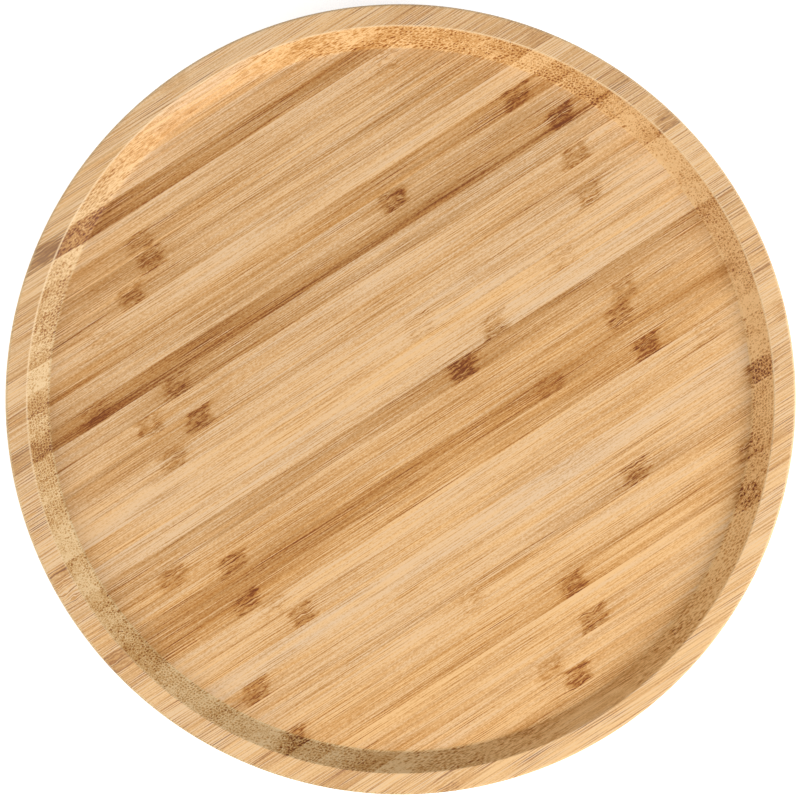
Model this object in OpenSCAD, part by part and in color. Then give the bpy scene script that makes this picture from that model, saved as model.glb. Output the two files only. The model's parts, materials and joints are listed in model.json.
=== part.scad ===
// Lazy susan turntable, in millimetres, +Z up.
// A bamboo tray turns on a captive ball-bearing plate, over a round bamboo base on four rubber feet.
// The origin is on the table top, under the centre of the tray.

/* [Tray] */
// Outer diameter of the tray
tray_d = 350; // [260:5:420]
// Thickness of the tray's floor
floor_t = 9; // [8.5:0.5:14]
// Depth of the recess below the rim
recess_depth = 9; // [5:0.5:14]
// Width of the flat rim
rim_w = 9.5; // [6:0.5:16]
// Horizontal run of the sloping inner wall
wall_run = 9; // [6:0.5:14]
// Radius where the wall runs into the floor
cove_r = 2; // [1:0.5:5]
// Radius of the rim's inner edge
lip_r = 0.6; // [0.2:0.1:1.2]
// Radius of the tray's upper outer edge
brow_r = 1.2; // [0.5:0.1:2.4]
// Radius of the tray's lower outer edge
heel_r = 3; // [1:0.5:5]

/* [Base] */
// Diameter of the base disc
base_d = 200; // [190:5:240]
// Thickness of the base disc
base_h = 10; // [9.5:0.5:16]
// Radius of the base disc's edges
base_edge_r = 1.5; // [0.5:0.5:3]
// Diameter of the hole that a screwdriver goes through to reach the tray screws
access_d = 20; // [12:1:20]
// Chamfer at both ends of that hole
access_c = 0.6; // [0.2:0.1:1]

/* [Bearing] */
// Side of the square bearing plates
plate_w = 102; // [100:1:110]
// Corner radius of the bearing plates
plate_r = 9; // [5:1:11]
// Thickness of the plates' sheet steel
sheet_t = 1; // [0.8:0.1:1.2]
// Distance of a screw hole's centre from the plate's edges
hole_inset = 6.5; // [5:0.5:8]
// Diameter of the plates' screw holes
hole_d = 4.5; // [4.2:0.1:5.4]
// Radius of the circle that the balls run on
track_r = 33; // [30:0.5:34]
// Diameter of a ball
ball_d = 4.8; // [4.4:0.1:5.6]
// Number of balls
ball_count = 20; // [12:1:22]
// Gap between a ball and the groove that it runs in
race_gap = 0.06; // [0.05:0.01:0.1]
// Height of the groove's underside above the wood
race_lift = 0.5; // [0.3:0.1:1]
// Half width of the raised ring that holds the groove
ridge_half = 4.6; // [4.4:0.1:5.4]
// Horizontal run of the slope from the ring down to the flange
ramp_run = 1.6; // [1:0.1:2.5]
// Running clearance between the two plates
run_gap = 0.35; // [0.3:0.05:0.5]
// Distance from the balls' circle in to the lower plate's central hole
race_in = 6.4; // [6:0.1:7.5]
// How far the upper plate's rolled lip reaches under the lower plate
lip_grip = 1.5; // [1:0.1:2]

/* [Ball cage] */
// Thickness of the cage
cage_t = 1.6; // [1:0.1:1.8]
// Half width of the cage
cage_half = 3.9; // [3.6:0.1:4.2]
// Gap between a ball and its pocket
pocket_gap = 0.2; // [0.1:0.05:0.3]

/* [Feet] */
// Largest diameter of a rubber foot
foot_d = 16; // [14:0.5:20]
// Height of a rubber foot
foot_h = 4; // [4:0.1:6]
// How much a foot narrows towards the table, on the radius
foot_taper = 1; // [0.5:0.1:1.5]
// Distance of a foot's centre from the base disc's edge
foot_inset = 16; // [12:1:22]
// Rubber left under the base where the foot's screw clamps it
foot_web = 1.2; // [0.8:0.1:1.4]
// Diameter of the washer in a foot
washer_d = 8; // [7:0.5:9]
// Thickness of that washer
washer_t = 0.6; // [0.4:0.1:0.7]
// Gap around that washer in the foot
washer_gap = 0.15; // [0.1:0.05:0.3]
// Gap around the foot's screw in its washer and in the rubber
foot_screw_gap = 0.2; // [0.1:0.05:0.4]
// Radius of a foot's lower edge
foot_edge_r = 0.6; // [0.3:0.1:1]

/* [Screws] */
// Thread diameter of the plate screws
plate_screw_d = 3.5; // [3:0.1:3.9]
// Length of the plate screws under the head
plate_screw_len = 8; // [6:0.5:8.5]
// Head diameter of the plate screws
plate_head_d = 6.8; // [6.2:0.1:7.6]
// Head height of the plate screws
plate_head_h = 2; // [1.4:0.1:2.2]
// Thread diameter of the foot screws
foot_screw_d = 3; // [2.6:0.1:3.2]
// Length of the foot screws under the head
foot_screw_len = 9; // [7:0.5:9.5]
// Head diameter of the foot screws
foot_head_d = 5.8; // [5:0.1:6.4]
// Head height of the foot screws
foot_head_h = 1.6; // [1.2:0.1:1.8]
// Pitch of the threads
thread_pitch = 1.2; // [1:0.1:1.5]
// Depth of the threads
thread_depth = 0.45; // [0.3:0.05:0.6]
// Width of a slot of the cross recess
cross_slot = 0.9; // [0.7:0.1:1.2]
// Gap between a screw's thread and its pilot hole
pilot_gap = 0.05; // [0.03:0.01:0.1]
// Space left past a screw's tip in its pilot hole
tip_gap = 0.5; // [0.3:0.1:1]

/* [Hidden] */
$fn = 96;
eps = 0.01;
arc_steps = 6;           // straight pieces in a rounded corner's outline
corner_count = 4;        // screws of a plate, and feet
tray_turn = 45;          // the tray's plate is turned by this, so that its corners clear the base's plate
tray_r = tray_d / 2;
rim_in_r = tray_r - rim_w;
floor_r = rim_in_r - wall_run;
tray_h = floor_t + recess_depth;
wall_angle = atan2(recess_depth, wall_run);

groove_r = ball_d / 2 + race_gap;
bearing_h = 2 * (groove_r + sheet_t + race_lift);
ball_z = bearing_h / 2;
ridge_h = sheet_t + 2 * run_gap;          // room for the rolled lip under the raised ring
ridge_out_r = track_r + ridge_half + ramp_run;
ramp_bend = sheet_t * tan(atan2(ridge_h, ramp_run) / 2);   // keeps the slope as thick as the sheet
lower_hole_r = track_r - race_in;
collar_r = lower_hole_r - run_gap;
hole_pitch = plate_w - 2 * hole_inset;    // between neighbouring screw holes of a plate
corner_r = hole_pitch / sqrt(2);          // distance of a plate's screws from the axis
foot_ring_r = base_d / 2 - foot_inset;    // distance of the feet from the axis

base_z = foot_h;
bearing_z = base_z + base_h;
tray_z = bearing_z + bearing_h;
foot_screw_z = foot_h - foot_web - washer_t;   // where the foot screw's head bears on its washer

function numbered(stem, count) = [for (i = [1:count]) str(stem, i)];
function arc(centre, r, from, to) =
    [for (i = [0:arc_steps]) let (a = from + (to - from) * i / arc_steps) centre + r * [cos(a), sin(a)]];

// Places what follows on corner number i of a ring, the first one at the angle start.
module on_ring(i, r, start, count = corner_count) {
    rotate(start + 360 / count * (i - 1)) translate([r, 0, 0]) children();
}

// ---- Bamboo ----

// Half section of the tray, its underside at z = 0.
module tray_profile() {
    lip_run = lip_r * tan(wall_angle / 2);
    cove_run = cove_r * tan(wall_angle / 2);
    polygon(concat(
        [[0, 0]],
        arc([tray_r - heel_r, heel_r], heel_r, -90, 0),
        arc([tray_r - brow_r, tray_h - brow_r], brow_r, 0, 90),
        arc([rim_in_r + lip_run, tray_h - lip_r], lip_r, 90, 90 + wall_angle),
        arc([floor_r - cove_run, floor_t + cove_r], cove_r, wall_angle - 90, -90),
        [[0, floor_t]]));
}

// Straight hole for a screw's thread, opening downwards at z = 0.
module pilot_hole(d, depth) {
    translate([0, 0, -eps]) cylinder(d = d + 2 * pilot_gap, h = depth + tip_gap + eps);
}

module tray() {
    color("burlywood") translate([0, 0, tray_z]) difference() {
        rotate_extrude() tray_profile();
        for (i = [1:corner_count])
            on_ring(i, corner_r, 0) pilot_hole(plate_screw_d, plate_screw_len - sheet_t);
    }
}

// Half section of the base disc, its underside at z = 0.
module base_profile() {
    polygon(concat(
        [[0, 0]],
        arc([base_d / 2 - base_edge_r, base_edge_r], base_edge_r, -90, 0),
        arc([base_d / 2 - base_edge_r, base_h - base_edge_r], base_edge_r, 0, 90),
        [[0, base_h]]));
}

// The screwdriver hole, with a chamfer at each end.
module access_hole() {
    translate([0, 0, -eps]) cylinder(d = access_d, h = base_h + 2 * eps);
    translate([0, 0, -eps])
        cylinder(d1 = access_d + 2 * (access_c + eps), d2 = access_d, h = access_c + eps);
    translate([0, 0, base_h - access_c])
        cylinder(d1 = access_d, d2 = access_d + 2 * (access_c + eps), h = access_c + eps);
}

module base_disc() {
    color("tan") translate([0, 0, base_z]) difference() {
        rotate_extrude() base_profile();
        on_ring(1, corner_r, 0) access_hole();
        for (i = [1:corner_count]) {
            on_ring(i, corner_r, tray_turn) translate([0, 0, base_h]) mirror([0, 0, 1])
                pilot_hole(plate_screw_d, plate_screw_len - sheet_t);
            on_ring(i, foot_ring_r, tray_turn)
                pilot_hole(foot_screw_d, foot_screw_len - foot_web - washer_t);
        }
    }
}

// ---- Bearing ----

// Square sheet with round corners and four screw holes, open where the raised ring stands.
module plate_flange() {
    side = plate_w - 2 * plate_r;
    linear_extrude(sheet_t) difference() {
        union() {
            square([plate_w, side], center = true);
            square([side, plate_w], center = true);
            for (x = [-1, 1], y = [-1, 1]) translate([x, y] * side / 2) circle(r = plate_r);
        }
        circle(r = ridge_out_r - ramp_bend / 2);
        for (x = [-1, 1], y = [-1, 1]) translate([x, y] * hole_pitch / 2) circle(d = hole_d);
    }
}

// The raised ring pressed into a plate, from inner_r outwards, with its ball groove facing up.
module race_ring(inner_r) {
    ridge_r = track_r + ridge_half;
    ridge_top = ridge_h + sheet_t;
    difference() {
        union() {
            rotate_extrude() polygon([
                [ridge_out_r, 0], [ridge_out_r, sheet_t], [ridge_r, ridge_top], [inner_r, ridge_top],
                [inner_r, ridge_h], [ridge_r - ramp_bend, ridge_h], [ridge_out_r - ramp_bend, 0]]);
            rotate_extrude() intersection() {
                translate([track_r, ball_z]) circle(r = groove_r + sheet_t);
                translate([track_r - ridge_half, 0]) square([2 * ridge_half, ridge_h + sheet_t / 2]);
            }
        }
        rotate_extrude() translate([track_r, ball_z]) circle(r = groove_r);
    }
}

module lower_plate() {
    color("silver") translate([0, 0, bearing_z]) {
        plate_flange();
        race_ring(lower_hole_r);
    }
}

// The collar that passes down through the lower plate, and the lip rolled out under it.
module captive_collar() {
    rotate_extrude() polygon([
        [collar_r - sheet_t, bearing_h - ridge_h], [collar_r, bearing_h - ridge_h],
        [collar_r, run_gap + sheet_t], [lower_hole_r + lip_grip, run_gap + sheet_t],
        [lower_hole_r + lip_grip, run_gap], [collar_r - sheet_t, run_gap]]);
}

module upper_plate() {
    color("silver") translate([0, 0, bearing_z]) {
        translate([0, 0, bearing_h]) rotate(tray_turn) mirror([0, 0, 1]) {
            plate_flange();
            race_ring(collar_r - sheet_t);
        }
        captive_collar();
    }
}

module ball(i) {
    color("gainsboro") translate([0, 0, bearing_z + ball_z])
        on_ring(i, track_r, 0, ball_count) sphere(d = ball_d);
}

module ball_cage() {
    color("white") translate([0, 0, bearing_z + ball_z - cage_t / 2]) difference() {
        rotate_extrude() translate([track_r - cage_half, 0]) square([2 * cage_half, cage_t]);
        for (i = [1:ball_count]) on_ring(i, track_r, 0, ball_count)
            translate([0, 0, -eps]) cylinder(d = ball_d + 2 * pocket_gap, h = cage_t + 2 * eps);
    }
}

// ---- Screws and feet ----

// Pan-head wood screw, head down: the head's bearing face is at z = 0 and the tip points up.
// The thread is drawn as a stack of rings.
module screw(d, len, head_d, head_h) {
    turns = floor((len - d / 2) / thread_pitch);
    core_r = d / 2 - thread_depth;
    neck = len - d / 2 - turns * thread_pitch;
    dome_r = head_h * 0.55;
    rotate_extrude() polygon(concat(
        [[0, -head_h]],
        arc([head_d / 2 - dome_r, dome_r - head_h], dome_r, -90, 0),
        [[head_d / 2, 0], [core_r, 0], [core_r, neck]],
        [for (k = [0:turns - 1], p = [[d / 2, 0.5], [core_r, 1]])
            [p[0], neck + (k + p[1]) * thread_pitch]],
        [[0, len]]));
}

// Cross recess cut into a screw's head, opening downwards at z = -head_h.
module cross_recess(head_d, head_h) {
    for (a = [0, 90]) rotate(a)
        translate([-head_d * 0.29, -cross_slot / 2, -head_h - eps])
            cube([head_d * 0.58, cross_slot, head_h * 0.6 + eps]);
}

module cross_screw(d, len, head_d, head_h) {
    difference() {
        screw(d, len, head_d, head_h);
        cross_recess(head_d, head_h);
    }
}

module tray_screw(i) {
    color("lightgray") translate([0, 0, tray_z - sheet_t]) on_ring(i, corner_r, 0)
        cross_screw(plate_screw_d, plate_screw_len, plate_head_d, plate_head_h);
}

module base_screw(i) {
    color("lightgray") translate([0, 0, bearing_z + sheet_t]) on_ring(i, corner_r, tray_turn)
        mirror([0, 0, 1]) cross_screw(plate_screw_d, plate_screw_len, plate_head_d, plate_head_h);
}

module foot_screw(i) {
    color("lightgray") translate([0, 0, foot_screw_z]) on_ring(i, foot_ring_r, tray_turn)
        cross_screw(foot_screw_d, foot_screw_len, foot_head_d, foot_head_h);
}

module foot_washer(i) {
    color("lightgray") translate([0, 0, foot_screw_z]) on_ring(i, foot_ring_r, tray_turn)
        difference() {
            cylinder(d = washer_d, h = washer_t);
            translate([0, 0, -eps]) cylinder(d = foot_screw_d + 2 * foot_screw_gap, h = washer_t + 2 * eps);
        }
}

// Tapered rubber foot, counterbored from below for its washer and screw head.
module foot(i) {
    well_r = washer_d / 2 + washer_gap;
    hole_r = foot_screw_d / 2 + foot_screw_gap;
    bottom_r = foot_d / 2 - foot_taper;
    color("dimgray") on_ring(i, foot_ring_r, tray_turn) rotate_extrude() polygon(concat(
        [[well_r, 0]],
        arc([bottom_r - foot_edge_r, foot_edge_r], foot_edge_r, -90, 0),
        [[foot_d / 2, foot_h - foot_edge_r], [foot_d / 2, foot_h], [hole_r, foot_h],
         [hole_r, foot_h - foot_web], [well_r, foot_h - foot_web]]));
}

tray();
upper_plate();
lower_plate();
ball_cage();
base_disc();
for (i = [1:ball_count])
    ball(i);
for (i = [1:corner_count]) {
    tray_screw(i);
    base_screw(i);
    foot(i);
    foot_washer(i);
    foot_screw(i);
}
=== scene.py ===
import json
from math import atan2, cos, degrees, hypot, pi, radians, sin, tan

import bpy
from mathutils import Matrix, Vector


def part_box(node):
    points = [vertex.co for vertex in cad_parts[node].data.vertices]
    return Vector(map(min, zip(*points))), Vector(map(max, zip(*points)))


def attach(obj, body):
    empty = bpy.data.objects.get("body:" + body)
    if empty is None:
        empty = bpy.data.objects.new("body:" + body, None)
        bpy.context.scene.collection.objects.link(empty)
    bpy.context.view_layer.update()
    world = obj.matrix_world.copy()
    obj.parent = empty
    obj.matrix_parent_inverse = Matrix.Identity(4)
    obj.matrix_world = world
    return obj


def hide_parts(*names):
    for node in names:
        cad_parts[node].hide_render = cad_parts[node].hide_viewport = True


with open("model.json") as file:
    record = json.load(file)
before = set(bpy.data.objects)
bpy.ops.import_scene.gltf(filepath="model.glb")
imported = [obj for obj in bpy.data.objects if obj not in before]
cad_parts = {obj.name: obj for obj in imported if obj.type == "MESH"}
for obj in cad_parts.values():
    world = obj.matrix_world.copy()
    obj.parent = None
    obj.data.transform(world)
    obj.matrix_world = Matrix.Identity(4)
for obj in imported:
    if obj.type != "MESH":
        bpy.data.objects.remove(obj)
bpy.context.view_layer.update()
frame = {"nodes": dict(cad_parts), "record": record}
nodes = frame["nodes"]
mounts = {m["name"]: m for m in frame["record"]["mounts"]}
mm = 0.001
mergeWithin = 0.01 * mm
findWithin = 0.02 * mm
print("frame loaded:", len(nodes), "CAD nodes")


# modelling helpers; their sizes come in millimetres

def deselectAll():
    if bpy.context.object and bpy.context.object.mode != "OBJECT":
        bpy.ops.object.mode_set(mode="OBJECT")
    bpy.ops.object.select_all(action="DESELECT")


def makeActive(obj):
    deselectAll()
    obj.select_set(True)
    bpy.context.view_layer.objects.active = obj


def startEditing(obj, kind="VERT", action="SELECT"):
    # edit mode with everything selected, or nothing
    makeActive(obj)
    bpy.ops.object.mode_set(mode="EDIT")
    bpy.ops.mesh.select_mode(type=kind)
    bpy.ops.mesh.select_all(action=action)


def stopEditing():
    bpy.ops.object.mode_set(mode="OBJECT")


def editOnly(obj, kind):
    # leaves nothing selected, so that the script can mark what it wants before it edits again
    startEditing(obj, kind, "DESELECT")
    stopEditing()


def applyPlace():
    bpy.ops.object.transform_apply(location=True, rotation=True, scale=True)


def finishMesh(obj):
    startEditing(obj)
    bpy.ops.mesh.remove_doubles(threshold=mergeWithin)
    bpy.ops.mesh.normals_make_consistent(inside=False)
    stopEditing()
    applyPlace()


def modify(obj, name, kind, **settings):
    # adds a modifier and applies it
    makeActive(obj)
    change = obj.modifiers.new(name, kind)
    for key, value in settings.items():
        setattr(change, key, value)
    bpy.ops.object.modifier_apply(modifier=change.name)


def turned(name, profile, steps, caps=True):
    # a round piece: a circle at the first point of the profile, extruded from point to point
    deselectAll()
    r, z = profile[0]
    bpy.ops.mesh.primitive_circle_add(vertices=steps, radius=r * mm, location=(0, 0, z * mm),
                                      fill_type="NGON" if caps else "NOTHING")
    obj = bpy.context.object
    obj.name = obj.data.name = name
    startEditing(obj)
    for nextR, nextZ in profile[1:]:
        bpy.ops.mesh.extrude_region_move(TRANSFORM_OT_translate={"value": (0, 0, (nextZ - z) * mm)})
        bpy.ops.transform.resize(value=(nextR / r, nextR / r, 1), center_override=(0, 0, nextZ * mm))
        r, z = nextR, nextZ
    finishMesh(obj)
    return obj


def roundRing(obj, r, z, size, cuts, centre=(0, 0)):
    # rounds the ring of edges that lies at radius r and height z
    editOnly(obj, "EDGE")
    inRing = [abs(hypot(v.co.x - centre[0] * mm, v.co.y - centre[1] * mm) - r * mm) < findWithin
              and abs(v.co.z - z * mm) < findWithin for v in obj.data.vertices]
    for edge in obj.data.edges:
        edge.select = all(inRing[i] for i in edge.vertices)
    bpy.ops.object.mode_set(mode="EDIT")
    bpy.ops.mesh.bevel(offset=size * mm, segments=cuts, profile=0.5, affect="EDGES")
    stopEditing()


def cut(obj, tool, overlaps=False, keepInside=False):
    # takes the tool's shape out of the piece, or leaves only what is inside it
    modify(obj, "cut", "BOOLEAN", object=tool, operation="INTERSECT" if keepInside else "DIFFERENCE",
           solver="EXACT", use_self=overlaps)
    bpy.data.objects.remove(tool)


def bevelSharp(obj, size):
    modify(obj, "soften", "BEVEL", width=size * mm, segments=2, limit_method="ANGLE", angle_limit=radians(40))


def rods(places, r, low, high, steps=32):
    # upright rods at the given places, joined into one tool
    made = []
    for x, y in places:
        deselectAll()
        bpy.ops.mesh.primitive_cylinder_add(vertices=steps, radius=r * mm, depth=(high - low) * mm,
                                            location=(x * mm, y * mm, (low + high) / 2 * mm))
        made.append(bpy.context.object)
    tool = joined("rods", made)
    makeActive(tool)
    applyPlace()
    return tool


def onRing(r, start, count):
    # places around the axis, the first of them at the start angle in degrees
    angles = [radians(start + 360 / count * n) for n in range(count)]
    return [(r * cos(a), r * sin(a)) for a in angles]


def arcPoints(centre, r, start, end, steps):
    angles = [radians(start + (end - start) * n / steps) for n in range(steps + 1)]
    return [(centre[0] + r * cos(a), centre[1] + r * sin(a)) for a in angles]


def bendCorners(line, radius, steps=4):
    # turns the sharp corners of a profile into arcs
    result = [line[0]]
    for before, corner, after in zip(line, line[1:], line[2:]):
        back, on = ((Vector(p) - Vector(corner)).normalized() for p in (before, after))
        turn = pi - back.angle(on)
        if turn < radians(20):
            result.append(corner)
            continue
        centre = Vector(corner) + (back + on).normalized() * radius / cos(turn / 2)
        first, last = (Vector(corner) + way * radius * tan(turn / 2) - centre for way in (back, on))
        result += [tuple(centre + first.slerp(last, n / steps).normalized() * radius)
                   for n in range(steps + 1)]
    return result + [line[-1]]


def seat(r, angle, z, flip=False):
    # moves a piece from the origin to a place on a ring, head up if it is flipped
    move = Matrix.Rotation(radians(angle), 4, "Z") @ Matrix.Translation((r * mm, 0, z * mm))
    return move @ Matrix.Rotation(pi, 4, "X") if flip else move


def smooth(obj, angle=35):
    makeActive(obj)
    bpy.ops.object.shade_smooth_by_angle(angle=radians(angle))
    modify(obj, "even", "WEIGHTED_NORMAL", keep_sharp=True)


def joined(name, parts):
    deselectAll()
    for part in parts:
        part.select_set(True)
    bpy.context.view_layer.objects.active = parts[0]
    if len(parts) > 1:
        bpy.ops.object.join()
    parts[0].name = parts[0].data.name = name
    return parts[0]


def copyTo(piece, name, move):
    # a copy with its own mesh, and its place in that mesh
    twin = piece.copy()
    twin.data = piece.data.copy()
    twin.name = twin.data.name = name
    bpy.context.scene.collection.objects.link(twin)
    twin.data.transform(move)
    return twin


def handIn(piece, body, node):
    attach(piece, body)
    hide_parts(node)


# shader helpers

class Wire:
    # what comes out of a shader node; arithmetic with it adds math nodes to its tree
    def __init__(self, tree, socket):
        self.tree = tree
        self.socket = socket

    def math(self, operation, *others):
        return calc(self.tree, operation, self, *others)

    def __add__(self, other):
        return self.math("ADD", other)

    def __sub__(self, other):
        return self.math("SUBTRACT", other)

    def __rsub__(self, other):
        return calc(self.tree, "SUBTRACT", other, self)

    def __mul__(self, other):
        return self.math("MULTIPLY", other)

    def __truediv__(self, other):
        return self.math("DIVIDE", other)

    def __abs__(self):
        return self.math("ABSOLUTE")

    __radd__ = __add__
    __rmul__ = __mul__


def plug(socket, value):
    if isinstance(value, Wire):
        value.tree.links.new(value.socket, socket)
    else:
        socket.default_value = value


def outputsOf(tree, node):
    # a node's outputs, by number and by name
    wires = [Wire(tree, socket) for socket in node.outputs]
    return {**dict(enumerate(wires)), **{wire.socket.name: wire for wire in wires}}


def newNode(tree, kind, inputs=(), **settings):
    # adds a node, fills its inputs by name, by number or in order, and returns its outputs
    node = tree.nodes.new(kind)
    for key, value in settings.items():
        setattr(node, key, value)
    for key, value in inputs.items() if isinstance(inputs, dict) else enumerate(inputs):
        plug(node.inputs[key], value)
    return outputsOf(tree, node)


def calc(tree, operation, *values):
    return newNode(tree, "ShaderNodeMath", values, operation=operation)[0]


def weighted(values, weights):
    # the sum of the named values, each times the weight of the same name
    return sum(value * weights[name] for name, value in values.items())


def combine(x, y, z):
    return newNode(x.tree, "ShaderNodeCombineXYZ", (x, y, z))[0]


def split(vector):
    outputs = newNode(vector.tree, "ShaderNodeSeparateXYZ", (vector,))
    return outputs["X"], outputs["Y"], outputs["Z"]


def mixed(factor, a, b):
    return newNode(factor.tree, "ShaderNodeMix", {0: factor, 2: a, 3: b}, data_type="FLOAT")[0]


def mixedColour(tree, factor, a, b, mode="MIX"):
    return newNode(tree, "ShaderNodeMix", {0: factor, 6: a, 7: b}, data_type="RGBA", blend_type=mode)[2]


def ease(value, low, high, start=0.0, end=1.0):
    # smooth step from start to end while value goes from low to high
    return newNode(value.tree, "ShaderNodeMapRange", (value, low, high, start, end),
                   interpolation_type="SMOOTHSTEP")[0]


def noise(place, scale=1.0, detail=2.0, rough=0.5):
    # centred on zero, about -0.5 to 0.5
    return newNode(place.tree, "ShaderNodeTexNoise", {"Vector": place, "Scale": scale, "Detail": detail,
                                                      "Roughness": rough})[0] - 0.5


def luck(number):
    # a random value from 0 to 1, always the same for the same number
    return newNode(number.tree, "ShaderNodeTexWhiteNoise", {"W": number}, noise_dimensions="1D")["Value"]


def colourRamp(value, stops, interpolation="LINEAR"):
    node = value.tree.nodes.new("ShaderNodeValToRGB")
    node.color_ramp.interpolation = interpolation
    elements = node.color_ramp.elements
    elements.remove(elements[-1])
    for n, (place, colour) in enumerate(stops):
        stop = elements[0] if n == 0 else elements.new(place)
        stop.position = place
        stop.color = colour if len(colour) == 4 else (*colour, 1)
    plug(node.inputs[0], value)
    return outputsOf(value.tree, node)


def makeGroup(name, inputs, outputs):
    tree = bpy.data.node_groups.new(name, "ShaderNodeTree")
    for label, kind, value in inputs:
        socket = tree.interface.new_socket(name=label, in_out="INPUT", socket_type="NodeSocket" + kind)
        if value is not None:
            socket.default_value = value
    for label, kind in outputs:
        tree.interface.new_socket(name=label, in_out="OUTPUT", socket_type="NodeSocket" + kind)
    return tree, newNode(tree, "NodeGroupInput"), tree.nodes.new("NodeGroupOutput").inputs


def useGroup(tree, group, values):
    return newNode(tree, "ShaderNodeGroup", values, node_tree=group)


def newMaterial(name, **fixed):
    material = bpy.data.materials.new(name)
    material.use_nodes = True
    shader = material.node_tree.nodes["Principled BSDF"]
    for label, value in fixed.items():
        shader.inputs[label].default_value = value
    return material, material.node_tree, shader


def addBump(shader, height, strength, distance):
    bump = newNode(height.tree, "ShaderNodeBump", {"Strength": strength, "Distance": distance * mm,
                                                   "Height": height})
    plug(shader.inputs["Normal"], bump[0])


def objectPlace(tree, turn=0.0, shift=(0, 0, 0)):
    # object coordinates in millimetres, turned about Z and shifted
    coordinates = newNode(tree, "ShaderNodeTexCoord")
    place = newNode(tree, "ShaderNodeMapping", {
        "Vector": coordinates["Object"], "Location": shift, "Rotation": (0, 0, radians(-turn)),
        "Scale": (1000, 1000, 1000)})
    return place[0], coordinates["Normal"]


# The bamboo board. One row for each glued strip, from the far edge of the board to the near one: how dark it
# is at its left, middle and right, how yellow it is, which of its edges is the dense one (above zero the far
# one, below zero the near one), then the place along the grain and the strength of up to two knots.
boardStrips = [
    (0.30, 0.30, 0.30, 0.25, 0.0, -8, 0.5),
    (0.30, 0.30, 0.30, 0.20, 0.0),
    (0.40, 0.25, 0.30, 0.60, -0.4),
    (0.30, 0.25, 0.30, 0.30, 0.1),
    (1.25, 0.85, 0.75, 0.30, -0.3, -96, 0.6),
    (0.15, 0.35, 0.35, 0.35, -0.3, 76, 0.25),
    (0.65, 0.30, 0.70, 0.45, 0.4, -60, 0.55),
    (0.55, 0.40, 0.65, 0.35, 0.2, -60, 0.75),
    (0.60, 0.25, 0.60, 0.40, -0.6, -76, 0.65, 140, 0.4),
    (0.00, 0.10, 0.00, 0.40, 0.0, -98, 0.3),
    (0.75, 0.60, 0.65, 0.45, -0.2, 116, 0.75),
    (0.40, 0.45, 0.45, 0.30, 0.1, 45, 0.95),
    (1.10, 0.95, 0.80, 0.30, -0.3, -118, 0.35, 128, 1.0),
    (0.55, 0.60, 0.50, 0.20, -0.2, -80, 0.7),
    (0.25, 0.25, 0.20, 0.40, 0.1, -100, 0.8, 124, 0.75),
    (0.55, 0.30, 0.45, 0.40, -0.4, -80, 0.9, 167, 0.7),
    (0.20, 0.20, 0.10, 0.40, 0.5, -99, 0.65, 120, 0.75),
    (0.00, 0.05, 0.05, 0.40, 0.1, 25, 0.35),
    (0.25, 0.00, 0.20, 0.65, 0.6, 95, 0.3, -168, 0.4),
    (0.00, 0.00, 0.00, 0.25, -0.2, 53, 0.8, -171, 0.3),
    (0.50, 0.75, 0.75, 0.35, 0.5, 31, 1.0),
    (0.40, 0.45, 0.40, 0.60, 0.0, -128, 0.7, 110, 0.6),
    (0.50, 0.40, 0.45, 0.65, 0.3, -102, 0.75, 102, 0.75),
    (0.95, 1.00, 0.60, 0.70, 0.0, 60, 0.4, -170, 0.35),
    (0.60, 0.45, 0.55, 0.80, 0.3, -106, 0.7, 105, 1.0),
    (0.15, 0.00, 0.00, 0.60, -0.1, -97, 0.35, 131, 0.35),
    (0.20, 0.35, 0.35, 0.65, 0.2, -88, 0.85, 166, 0.5),
    (0.00, 0.00, 0.00, 0.30, -0.1, 44, 0.15),
    (0.30, 0.15, 0.05, 0.60, 0.0, -124, 0.8, 141, 1.0),
    (0.15, 0.35, 0.40, 0.50, -0.3, 71, 0.85),
    (0.20, 0.20, 0.20, 0.65, 0.2, -21, 0.3),
    (0.30, 0.35, 0.20, 0.75, -0.3, 118, 0.8, -121, 0.8),
    (0.45, 0.40, 0.40, 0.90, -0.3, 20, 0.8),
    (0.30, 0.10, 0.15, 0.90, -0.6, 107, 0.95),
    (0.60, 0.20, 0.05, 0.70, -0.3, 20, 0.9),
    (0.00, 0.15, 0.05, 0.65, 0.0, -9, 0.75),
    (0.40, 0.35, 0.15, 0.90, 0.2, 0, 0.95),
    (0.40, 0.40, 0.30, 1.00, 0.1, -75, 0.4),
    (0.30, 0.30, 0.25, 1.00, 0.0),
    (0.20, 0.20, 0.25, 1.00, 0.0)]

# dark veins that run through a strip: where across it, from its far edge, and how strong
boardVeins = {4: (0.35, 0.2), 10: (0.9, 0.25), 12: (0.8, 0.6), 23: (0.3, 0.15)}

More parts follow.
